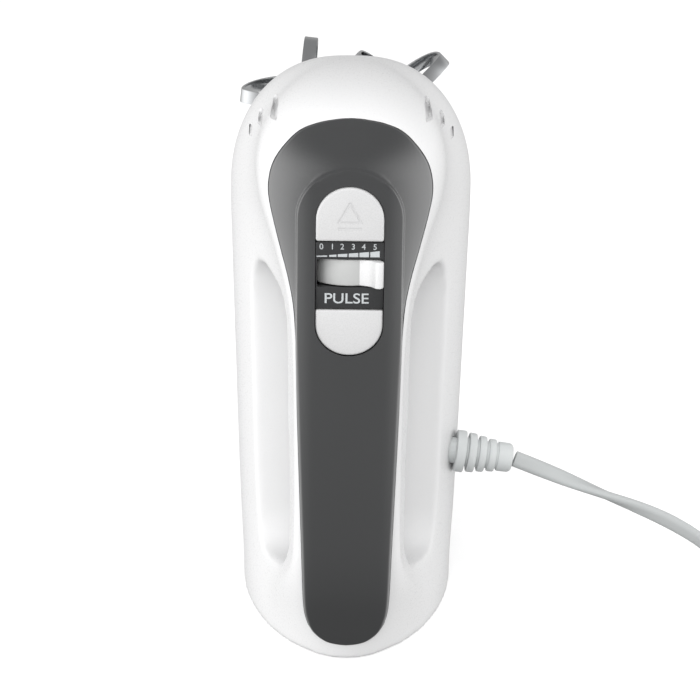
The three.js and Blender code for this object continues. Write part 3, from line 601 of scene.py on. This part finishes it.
def cover_outline(grow):
    """Height and half width from the heel end to the head end, round at both ends."""
    ends = [(6.9, 0.3)] + COVER_STATIONS + [(181.5, 0.3)]
    curve = curve_through(ends, 12)
    thin = [curve[0]]
    for z, half in curve[1:]:
        fine = 0.3 if z > 150 else 0.8
        if z - thin[-1][0] > fine or abs(half - thin[-1][1]) > 0.5:
            thin.append((z, half))
    middle = 90
    return [(z + grow * min(max((z - middle) / 60, -1), 1), half + grow) for z, half in thin]


def cover_form(name, grow, outward, inward, count):
    """The cover's solid, or with grow and outward the cutter for its recess."""
    rings = []
    for z, half in cover_outline(grow):
        section = half_section(z, 0, 24)
        row = cover_row(z, half, count)
        over = []
        for x in row:
            drop = 0 if grow else rim_drop(x, half)
            over.append((x, cover_surface(x, z, section) - outward + drop, z))
        under = [(x, handle_surface(x, z, section) + inward, z) for x in row]
        rings.append(over + under[::-1])
    return loft(name, rings)


def half_round(half, middle, rise):
    """A half oval as x and z. A negative half width and rise turn it upside down."""
    points = []
    for i in range(37):
        angle = i / 36 * math.pi
        points.append((half * math.cos(angle), middle + rise * math.sin(angle)))
    return points


def panel_outline(grow):
    """The opening in the cover that both buttons and the plate share."""
    half = BUTTON_HALF + grow
    top = half_round(half, EJECT_Z, EJECT_RISE + grow)
    return top + half_round(-half, PULSE_Z, -PULSE_DROP - grow)


def rod(radius, axis, origin, length, sides=40):
    return turned("rod", [(0, 0), (radius, 0), (radius, length), (0, length)], axis, origin, sides)


def vent_cut(side, x, wide, low, high, deep):
    """One upright slot in the shoulder of the nose, with rounded corners."""
    outline = [(side * u, v) for u, v in rounded(x - wide / 2, x + wide / 2, low, high, 0.4, 4)]
    return prism("vent", outline, -60, deep, "y")


def make_housings(materials):
    shell = body_form("shell", 0)
    cut(shell, prism("gap", finger_gap_outline(0), -60, 60, "x"))
    soften(shell)
    hollow = body_form("hollow", WALL, 10, 5)
    cut(hollow, prism("gap_wall", finger_gap_outline(WALL), -60, 60, "x"))
    main = shell
    lower = link_mesh("lower_shell", shell.data.copy())
    cut(main, prism("split", rounded(-60, 60, SPLIT_Y, 90, 1, 1), -5, 210, "z"))
    cut(lower, prism("split", rounded(-60, 60, -90, SPLIT_Y + GAP, 1, 1), -5, 210, "z"))
    for half in (main, lower):
        copy = link_mesh("hollow_copy", hollow.data.copy())
        cut(half, copy)
    bpy.data.objects.remove(hollow)
    cut(main, cover_form("recess", 0.12, 6, 3.0, 30))
    cut(main, prism("window", rounded(-12.5, 12.5, 105, 166, 3), -80, -52, "y"))
    cut(main, rod(EXIT_BORE_R, EXIT_AXIS, EXIT - EXIT_AXIS * 12, 30))
    cut(main, rod(EXIT_FLANGE_R, EXIT_AXIS, EXIT - EXIT_AXIS * 16, 11.7))
    cut(main, rod(EXIT_COLLAR_R, EXIT_AXIS, EXIT - EXIT_AXIS * 0.3, 30))
    for side in (1, -1):
        for *vent, depth in VENTS:
            slot = vent_cut(side, *vent)
            cut(slot, body_form("slot_floor", depth))
            cut(main, slot)
        cut(lower, rod(BEATER_HOLE_R, ALONG_Y, (side * BEATER_X, 20, BEATER_Z), 60))
    for z in AIR_SLOTS:
        outline = rounded(-AIR_SLOT_HALF, AIR_SLOT_HALF, z - AIR_SLOT_R, z + AIR_SLOT_R, AIR_SLOT_R, 5)
        slot = prism("air_slot", outline, 50, 70, "y")
        cut(slot, body_form("slot_floor", AIR_SLOT_DEPTH))
        cut(lower, slot)
    add_screw_posts(main, lower)
    for half, node in ((main, "main_housing"), (lower, "lower_housing")):
        dress(half, materials["housing"], "body", node, slot="housing", angle=38)
        half.name = "white_" + node


def add_screw_posts(main, lower):
    """A post round each screw in both halves, with a deep counterbore from the outside."""
    in_main = (main, SCREW_POST_START, SPLIT_Y - SCREW_POST_START)
    in_lower = (lower, SPLIT_Y + GAP, 40)
    for x, z in SCREWS:
        for half, start, length in (in_main, in_lower):
            post = rod(SCREW_POST_R, ALONG_Y, (x, start, z), length)
            cut(post, body_form("skin", 1.0), "INTERSECT")
            cut(half, post, "UNION")
            cut(half, rod(SCREW_BORE_R, ALONG_Y, (x, 10, z), 60))
        cut(lower, rod(SCREW_HEAD_R, ALONG_Y, (x, SCREW_HEAD_Y, z), 40))


def soften(obj):
    """Rounds every edge of the moulding a little, as a mould does."""
    step = obj.modifiers.new("grid", "REMESH")
    step.mode = "VOXEL"
    step.voxel_size = 1.15 * MM
    bake(obj)
    ease = obj.modifiers.new("ease", "SMOOTH")
    ease.factor = 0.5
    ease.iterations = 7
    bake(obj)


def make_cover(materials):
    cover = cover_form("slate_handle_cover", 0, 0, 2.7, 78)
    cut(cover, prism("panel", panel_outline(0.2), -90, -40, "y"))
    dress(cover, materials["cover"], "body", "handle_cover", slot="cover", angle=50)


# ---------------------------------------------------------------- controls

def eject_outline():
    low = 145.8
    arch = half_round(BUTTON_HALF, EJECT_Z, EJECT_RISE)
    return [(BUTTON_HALF, low)] + arch + [(-BUTTON_HALF, low)]


def pulse_outline():
    high = 124.3
    arch = half_round(-BUTTON_HALF, PULSE_Z, -PULSE_DROP)
    return [(-BUTTON_HALF, high)] + arch + [(BUTTON_HALF, high)]


def groove_line(points, width):
    """Short bars in x and z that follow straight lines, as cutters for an engraved mark."""
    bars = []
    for (x0, z0), (x1, z1) in zip(points, points[1:]):
        a, b = Vector((x0, z0)), Vector((x1, z1))
        run = (b - a).normalized() * width / 2
        side = Vector((-run.y, run.x))
        a -= run
        b += run
        bars.append([tuple(a + side), tuple(a - side), tuple(b - side), tuple(b + side)])
    return bars


def make_buttons(materials):
    eject = prism("white_eject_button", eject_outline(), -68.2, -62.4, "y")
    bevel(eject, 0.75, 4, 50)
    marks = groove_line([(-3.4, 151.6), (0, 157.4), (3.4, 151.6), (-3.4, 151.6)], 0.7)
    marks += groove_line([(-3.1, 149.6), (3.1, 149.6)], 0.9)
    for bar in marks:
        cut(eject, prism("mark", bar, -70, -68.0, "y"))
    cut(eject, rod(6.3, ALONG_Y, (0, -66.4, 153), 8))
    dress(eject, materials["button"], "eject_control", "eject_button", slot="button")
    pulse = prism("white_pulse_button", pulse_outline(), -67.8, -62.4, "y")
    bevel(pulse, 0.6, 4, 50)
    cut(pulse, rod(5.9, ALONG_Y, (0, -66, 117.4), 8))
    cut(pulse, prism("stem", rounded(-3, 3, 114.4, 120.4, 0.5, 2), -66.4, -52.4, "y"), "UNION")
    dress(pulse, materials["button"], "pulse_control", "pulse_button", slot="button")


def spring_mesh(name, z, top, base, radius):
    """A round wire spring along y, from the button's recess to the guide behind it."""
    turns = 3.5
    per_turn = 24
    wire = 0.7
    around = 10
    steps = round(turns * per_turn)
    rings = []
    for i in range(steps + 1):
        angle = i / per_turn * 2 * math.pi
        y = top + wire + (base - top - 2 * wire) * i / steps
        out = Vector((math.cos(angle), 0, math.sin(angle)))
        ring = []
        for k in range(around):
            turn = 2 * math.pi * k / around
            across = out * (radius + wire * math.cos(turn))
            ring.append(tuple(across + Vector((0, y + wire * math.sin(turn), z))))
        rings.append(ring)
    return loft(name, rings)


def make_springs(materials):
    """The springs behind the two buttons, fixed coils that keep their length."""
    base = -52.4
    eject = ("eject", 153, -66.0, 5.2, 6)
    pulse = ("pulse", 117.4, -65.6, 5.1, 2.5)
    for kind, z, top, radius, travel in (eject, pulse):
        coil = spring_mesh(f"{kind}_return_spring", z, top, base, radius)
        dress(coil, materials["steel"], "body", f"{kind}_spring", slot="steel", angle=60)
        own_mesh(coil)


def drum_arc(start, end, steps):
    """Part of the drum's round side, in degrees from straight forward."""
    points = []
    for i in range(steps + 1):
        angle = math.radians(start + (end - start) * i / steps)
        points.append((DRUM_R * math.sin(angle), DRUM_Y - DRUM_R * math.cos(angle)))
    return points


def make_drum(materials):
    fin = [(3.2, -66.05), (5.2, -66.9), (6.8, -68.4), (7.8, -70.1), (8.5, -70.6), (9.4, -70.5),
           (10.2, -69.6), (10.4, -68.4), (9.8, -66.9), (9.6, -65), (9.45, -63.6)]
    hub = [(2.6, DRUM_Y + 2.4), (-2.6, DRUM_Y + 2.4)]
    outline = drum_arc(-62, 15.2, 36) + curve_through(fin, 4) + drum_arc(52, 128, 30) + hub
    drum = prism("speed_drum_body", outline, DRUM_LOW, DRUM_HIGH, "z")
    bevel(drum, 0.45, 3, 50)
    cut(drum, rod(2, (0, 0, 1), (0, DRUM_Y, 126.6), 8), "UNION")
    dress(drum, materials["drum"], "speed_control", "speed_drum", slot="button")
    drum.data.materials.append(materials["fin"])
    for face in drum.data.polygons:
        if face.center.x > 2.9 * MM and face.center.y < -61 * MM:
            face.material_index = 1


def make_plate(materials):
    outline = rounded(-BUTTON_HALF, BUTTON_HALF, 124.7, 145.4, 0.4, 3)
    plate = prism("slate_control_plate", outline, PANEL_Y, -63.4, "y")
    cut(plate, prism("window", rounded(-10.0, 10.1, 131.3, 140.1, 0.5, 4), -90, -40, "y"))
    bevel(plate, 0.15, 2, 50)
    dress(plate, materials["plate"], "body", "control_plate", slot="cover")


def lettering(name, text, size, stretch, x, z, materials):
    """Printed characters that lie on the control plate."""
    curve = bpy.data.curves.new(name, "FONT")
    curve.body = text
    curve.size = size * MM
    curve.extrude = 0.03 * MM
    curve.offset = size * 0.008 * MM
    curve.align_x = "CENTER"
    curve.align_y = "CENTER"
    label = bpy.data.objects.new(name + "_curve", curve)
    bpy.context.scene.collection.objects.link(label)
    view = bpy.context.evaluated_depsgraph_get()
    mesh = bpy.data.meshes.new_from_object(label.evaluated_get(view))
    bpy.data.objects.remove(label)
    wide = Matrix.Diagonal((stretch, 1, 1, 1))
    place = Matrix.Translation((x * MM, (PANEL_Y - 0.03) * MM, z * MM))
    upright = Matrix.Rotation(math.pi / 2, 4, "X")
    mesh.transform(place @ upright @ wide)
    dress(link_mesh(name, mesh), materials["print"], "body", slot="cover")


def make_scale(materials):
    digits = [-8.65, -5.3, -2.3, 1.06, 4.25, 7.7]
    bars = [(-10.1, -6.9), (-6.25, -4.05), (-3.65, -0.75), (-0.3, 2.6), (2.95, 5.85), (6.25, 9.1)]
    low = 140.8
    for i in range(6):
        lettering(f"scale_digit_{i}", str(i), 2.5, 1, digits[i], 143.9, materials)
        left, right = bars[i]
        outline = [(left, low), (right, low), (right, low + 0.42 + 0.3 * i),
                   (left, low + 0.3 + 0.26 * i)]
        bar = prism(f"scale_bar_{i}", outline, PANEL_Y - 0.05, PANEL_Y - 0.01, "y")
        dress(bar, materials["print"], "body", slot="cover")
    lettering("pulse_word", "PULSE", 4.5, 1.16, -0.9, 127.7, materials)


# ---------------------------------------------------------------- beaters

def loop_points():
    """Centre line of one wire strip from the shoulder, down one side to the tip, as radius and y."""
    side = [(2.7, 98.4), (6, 98.4), (14, 98.6), (21, 100.4), (24.6, 104), (25.5, 109.5), (25.2, 118),
            (23.6, 132), (20.2, 148), (15.4, 163), (10, 175), (5.6, 182), (2.6, 185.2)]
    half = curve_through(side, 6)
    tip = [(0, 185.7)]
    return half + tip + [(-r, y) for r, y in reversed(half)]


def strip(name, nested):
    """One wire strip bent to a loop. The nested one of each pair is a little smaller."""
    squeeze, narrow = (0.962, 0.985) if nested else (1, 1)
    line = [Vector((r * narrow, 140 + (y - 140) * squeeze)) for r, y in loop_points()]
    section = [(-0.42, -0.5), (0.42, -0.5), (0.5, -0.44), (0.5, 0.44), (0.42, 0.5), (-0.42, 0.5),
               (-0.5, 0.44), (-0.5, -0.44)]
    rings = []
    for i, p in enumerate(line):
        run = (line[min(i + 1, len(line) - 1)] - line[max(i - 1, 0)]).normalized()
        inward = Vector((-run.y, run.x))
        centre = p + inward * STRIP_THICK / 2
        ring = []
        for thick, wide in section:
            q = centre + inward * thick * STRIP_THICK
            ring.append((q.x, q.y, wide * STRIP_WIDTH))
        rings.append(ring)
    return loft(name, rings)


def make_beaters(materials):
    for side_name, side, turn in [("left", -1, 6), ("right", 1, 45)]:
        body = f"{side_name}_beater"
        at = Vector((side * BEATER_X, 0, BEATER_Z))
        profile = [(0, 18.4), (1.4, 18.4), (1.9, 18.9), (SHAFT_R, 20.5), (SHAFT_R, 97), (3.6, 97.6),
                   (3.6, 99.8), (SHAFT_R, 100.4), (SHAFT_R, 176), (1.3, 178), (1.3, 186.2),
                   (1.0, 186.6), (0, 186.6)]
        shaft = turned(f"chrome_shaft_{side_name}", profile, ALONG_Y, at, 40)
        dress(shaft, materials["chrome"], body, f"beater_shaft_{side_name}", slot="chrome")
        ring = [(SHAFT_R + 0.2, 64), (6.1, 64), (6.7, 64.3), (7.4, 65.6), (7.4, 67.4), (6.9, 68.2),
                (5.2, 69.2), (4.6, 69.4), (SHAFT_R + 0.2, 69.4)]
        collar = turned(f"beater_collar_ring_{side_name}", ring, ALONG_Y, at, 48, closed=True)
        dress(collar, materials["black"], body, f"beater_collar_{side_name}", slot="black")
        for letter, quarter, nested in [("a", 0, False), ("b", 90, True)]:
            loop = strip(f"chrome_loop_{side_name}_{letter}", nested)
            spin = Matrix.Rotation(math.radians(turn + quarter), 4, "Y")
            loop.data.transform(Matrix.Translation(at * MM) @ spin)
            node = f"beater_loop_{side_name}_{letter}"
            dress(loop, materials["chrome"], body, node, slot="chrome", angle=45)


# ---------------------------------------------------------------- mains lead

def cord_route():
    """The lead's centre line in millimetres: out of the sleeve, down to the worktop, round the coil
    and on to the plug."""
    hang = [(60.0, 8, 51.7), (72.8, 8, 46.6), (92.6, 8, 38.6), (105.5, 8, 33.6), (117, 8, 28.4),
            (128, 8, 21.8), (138, 8, 13.6), (147, 8, 6.6), (156, 8, 3.2), (166, 8.4, 2.2), (174, 9, 2.0)]
    cx, cy = COIL
    turns = 5.25
    steps = round(turns * 20)
    coil = []
    for i in range(steps + 1):
        done = i / steps * turns
        angle = math.radians(-90 + 360 * done)
        layer = min(int(done / 1.75), 2)
        share = min(max((done - 1.75 * layer - 1.45) / 0.3, 0), 1) if layer < 2 else 0
        phase = done - 1.75 * layer
        inward = phase / 1.75 if layer % 2 == 0 else 1 - phase / 1.75
        radius = 33.4 - 6.4 * inward
        height = 1.9 + 3.8 * (layer + smooth_step(share))
        coil.append((cx + radius * math.cos(angle), cy + radius * math.sin(angle), height))
    lead = [(PLUG[0], 56, 10.6), (PLUG[0], 62, 9.6), (PLUG[0], 69, 8.4), (PLUG[0], 75, 7.8)]
    return hang + coil[1:] + lead


def oval_tube(name, route, wide, thick, sides, twist):
    """A tube with an oval section that turns slowly along its way."""
    rings = []
    side = Vector((0, 1, 0))
    travelled = 0
    for i, p in enumerate(route):
        run = (route[min(i + 1, len(route) - 1)] - route[max(i - 1, 0)]).normalized()
        if i:
            travelled += (p - route[i - 1]).length
        side = (side - run * side.dot(run)).normalized()
        up = run.cross(side)
        angle = twist(travelled)
        a = side * math.cos(angle) + up * math.sin(angle)
        b = -side * math.sin(angle) + up * math.cos(angle)
        ring = []
        for k in range(sides):
            turn = 2 * math.pi * k / sides
            u, v = math.cos(turn), math.sin(turn)
            pinch = 1 - 0.16 * math.exp(-(u / 0.35) ** 2)
            q = p + a * (wide / 2 * u) + b * (thick / 2 * v * pinch)
            ring.append(tuple(q))
        rings.append(ring)
    return loft(name, rings)


def cord_twist(travelled):
    """Flat on the worktop. On its way down it shows its broad side, its edge and its broad side."""
    fall = min(travelled, 110)
    return math.radians(78 - 150 * smooth_step(fall / 62) + 72 * smooth_step((travelled - 62) / 60))


def make_cord(materials):
    route = [Vector(p) for p in curve_through(cord_route(), 4)]
    tube = oval_tube("mains_cord", route, CORD_WIDTH, CORD_THICK, 20, cord_twist)
    dress(tube, materials["lead"], "body", "power_cord", "cord_coil", "plug_lead", slot="lead", angle=80)
    tie = coil_tie()
    dress(tie, materials["black"], "body", "cord_tie", slot="black", angle=50)
    plug = make_plug(materials)


def coil_tie():
    """A soft band once round the turns on the side nearest the mixer."""
    cx, cy = COIL
    band = [(22.0, 5.9), (22.3, 3.0), (24, 0.35), (36, 0.35), (37.9, 3.0), (38.1, 5.9), (37.9, 9.4),
            (36, 13.0), (24, 13.0), (22.3, 9.4)]
    rings = [[(cx - r, cy + y, z) for r, z in band] for y in (-3.1, -2.8, 2.8, 3.1)]
    tie = loft("coil_tie_band", rings)
    inner = [(cx - (30 + (r - 30) * 0.87), 6.7 + (z - 6.7) * 0.84) for r, z in band]
    cut(tie, prism("tie_hole", inner, cy - 9, cy + 9, "y"))
    return tie


def make_plug(materials):
    x, y = PLUG

    def shift(points):
        return [(u + x, v) for u, v in points]
    plug = prism("plug_shell", shift(rounded(-7, 7, 0.4, 14.6, 5)), y + 9, y + 26, "y")
    bevel(plug, 1.6, 4, 50)
    head = prism("plug_head", shift(rounded(-13.5, 13.5, 0.4, 14.6, 6.5)), y + 24, y + 38, "y")
    bevel(head, 1.4, 4, 50)
    cut(plug, head, "UNION")
    sleeve = [(0, 4.4), (3.6, 4.4), (4.0, 5.0), (4.4, 10), (4.6, 12.5), (0, 12.5)]
    cut(plug, turned("plug_sleeve", sleeve, ALONG_Y, (x, y, 7.6)), "UNION")
    for side in (1, -1):
        cut(plug, rod(2.4, ALONG_Y, (x + side * 9.5, y + 30.4, 7.5), 20))
    return dress(plug, materials["lead"], "body", "plug_body", slot="lead", angle=40)


def make_strain_relief(materials):
    profile = [(0, -7), (6, -7), (6, -4.6), (4.7, -4.6), (4.7, 0), (7.1, 0), (7.5, 0.3), (7.55, 3.0),
               (7.3, 3.4), (5.3, 3.5), (5.2, 4.0), (5.3, 4.5), (6.9, 4.6), (7.1, 4.9), (7.0, 6.9),
               (6.8, 7.2), (5.1, 7.3), (5.0, 7.8), (5.1, 8.3), (6.3, 8.4), (6.5, 8.7), (6.4, 10.5),
               (6.2, 10.8), (4.9, 10.9),
               (4.8, 11.4), (4.9, 11.9), (5.7, 12), (5.9, 12.3), (5.8, 14.1), (5.6, 14.4), (4.7, 14.5),
               (4.6, 14.9), (4.7, 15.3), (5.2, 15.4), (5.3, 15.8), (5.2, 19.4), (4.8, 20.2),
               (4.2, 20.6), (0, 20.6)]
    sleeve = turned("ribbed_strain_relief", profile, EXIT_AXIS, EXIT, 56)
    dress(sleeve, materials["sleeve"], "body", "strain_relief", slot="lead", angle=50)


# ---------------------------------------------------------------- carried-over CAD nodes

def paint_inside(materials):
    """Hidden working parts keep their CAD shape and get a finished material."""
    looks = {
        "steel": ["housing_screw_1", "housing_screw_2", "housing_screw_3", "housing_screw_4",
                  "armature_shaft", "beater_socket_left", "beater_socket_right"],
        "nylon": ["eject_guide", "pulse_guide", "eject_plunger", "cooling_fan", "worm_gear_left",
                  "worm_gear_right", "cord_clamp"],
        "black": ["speed_switch", "pulse_microswitch"],
        "iron": ["armature_core", "stator_core"],
        "copper": ["armature_winding_rear", "armature_winding_front", "commutator", "field_coil_upper",
                   "field_coil_lower"],
        "zinc": ["gearbox_frame", "rear_bracket"],
        "brass": ["front_bearing", "rear_bearing", "brush_holder_left", "brush_holder_right",
                  "plug_pin_left", "plug_pin_right"],
        "carbon": ["carbon_brush_left", "carbon_brush_right"],
        "board": ["circuit_board"],
    }
    for look, names in looks.items():
        for name in names:
            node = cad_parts[name]
            if not node.material_slots:
                node.data.materials.append(materials[look])
            for material_slot in node.material_slots:
                material_slot.material = materials[look]


# ---------------------------------------------------------------- studio

def area_light(name, place, target, size, power):
    """A square soft box that the camera and the reflections don't show."""
    data = bpy.data.lights.new(name, "AREA")
    data.shape = "RECTANGLE"
    data.size = size
    data.size_y = size
    data.energy = power
    light = bpy.data.objects.new(name, data)
    bpy.context.scene.collection.objects.link(light)
    light.visible_camera = False
    light.visible_glossy = False
    light.location = place
    light.rotation_euler = (Vector(target) - Vector(place)).to_track_quat("-Z", "Y").to_euler()


def math_node(nodes, links, operation, *values):
    """One arithmetic step. A value is a number or another node's output."""
    node = nodes.new("ShaderNodeMath")
    node.operation = operation
    for socket, value in zip(node.inputs, values):
        if isinstance(value, (int, float)):
            socket.default_value = value
        else:
            links.new(value, socket)
    return node.outputs[0]


def make_world():
    """A white studio, dim behind the camera and overhead and bright to the left and right."""
    world = bpy.data.worlds.new("studio")
    bpy.context.scene.world = world
    world.use_nodes = True
    nodes = world.node_tree.nodes
    links = world.node_tree.links
    place = nodes.new("ShaderNodeTexCoord")
    split = nodes.new("ShaderNodeSeparateXYZ")
    links.new(place.outputs["Generated"], split.inputs["Vector"])
    x = split.outputs["X"]
    sideways = math_node(nodes, links, "POWER", math_node(nodes, links, "ABSOLUTE", x), 2.2)
    reach = math_node(nodes, links, "MULTIPLY_ADD", x, SIDE_SKEW, SIDE_GLOW)
    fade = nodes.new("ShaderNodeMapRange")
    fade.interpolation_type = "SMOOTHSTEP"
    fade.inputs["From Min"].default_value = 0.15
    fade.inputs["From Max"].default_value = 0.75
    fade.inputs["To Min"].default_value = 1
    fade.inputs["To Max"].default_value = 0
    links.new(split.outputs["Z"], fade.inputs["Value"])
    panels = math_node(nodes, links, "MULTIPLY", sideways, fade.outputs["Result"])
    glow = math_node(nodes, links, "MULTIPLY_ADD", panels, reach, FRONT_GLOW)
    below = nodes.new("ShaderNodeMapRange")
    below.interpolation_type = "SMOOTHSTEP"
    below.inputs["From Min"].default_value = -1.0
    below.inputs["From Max"].default_value = -0.55
    below.inputs["To Min"].default_value = 0.5
    below.inputs["To Max"].default_value = 1
    links.new(split.outputs["Z"], below.inputs["Value"])
    back = nodes["Background"]
    back.inputs["Color"].default_value = (1, 1, 1, 1)
    strength = math_node(nodes, links, "MULTIPLY", glow, below.outputs["Result"])
    links.new(strength, back.inputs["Strength"])


def make_studio():
    floor = mesh_from("floor", [(-9000, -9000, 0), (9000, -9000, 0), (9000, 9000, 0), (-9000, 9000, 0)],
                      [(0, 1, 2, 3)])
    floor.location.z = -0.0002
    floor.data.materials.append(floor_material())
    floor.visible_glossy = False
    floor.visible_diffuse = False
    make_world()
    middle = (0, 0, 0.09)
    area_light("left_box", (-0.42, -0.70, 0.20), middle, 0.50, 2.3)
    area_light("front_box", (0.06, -0.95, 0.45), middle, 0.40, 3.3)
    sun = bpy.data.lights.new("overhead", "SUN")
    sun.energy = SUN_STRENGTH
    sun.angle = math.radians(SUN_SPREAD)
    top = bpy.data.objects.new("overhead", sun)
    bpy.context.scene.collection.objects.link(top)
    top.visible_glossy = False
    top.rotation_euler = Vector(SUN_FROM).to_track_quat("Z", "Y").to_euler()
    bpy.context.scene.view_settings.view_transform = "Standard"


def floor_material():
    """A pale worktop with a painted glow: its emission, weaker near the mixer and stronger with the
    distance, stands in for wide studio light.
    """
    material = node_material("studio_floor", (0.90, 0.90, 0.90), (0.91, 0.91, 0.91), 2, 0.12, 0.16,
                             40, 0.0, Specular_IOR_Level=0.35, Emission_Color=(1, 1, 1, 1))
    nodes = material.node_tree.nodes
    links = material.node_tree.links
    place = nodes.new("ShaderNodeTexCoord")
    away = nodes.new("ShaderNodeVectorMath")
    away.operation = "LENGTH"
    links.new(place.outputs["Object"], away.inputs[0])
    # Painted light: the floor's own glow, its emission strength, rises from near the mixer outwards.
    fade = nodes.new("ShaderNodeMapRange")
    fade.interpolation_type = "SMOOTHSTEP"
    fade.inputs["From Min"].default_value = 0.05
    fade.inputs["From Max"].default_value = 0.90
    fade.inputs["To Min"].default_value = 0.32
    fade.inputs["To Max"].default_value = 0.50
    links.new(away.outputs["Value"], fade.inputs["Value"])
    links.new(fade.outputs["Result"], nodes["Principled BSDF"].inputs["Emission Strength"])
    return material


make_camera()
MATERIALS = make_materials()
make_cord(MATERIALS)
make_strain_relief(MATERIALS)
make_housings(MATERIALS)
make_cover(MATERIALS)
make_plate(MATERIALS)
make_scale(MATERIALS)
make_drum(MATERIALS)
make_buttons(MATERIALS)
make_springs(MATERIALS)
make_beaters(MATERIALS)
paint_inside(MATERIALS)
make_studio()
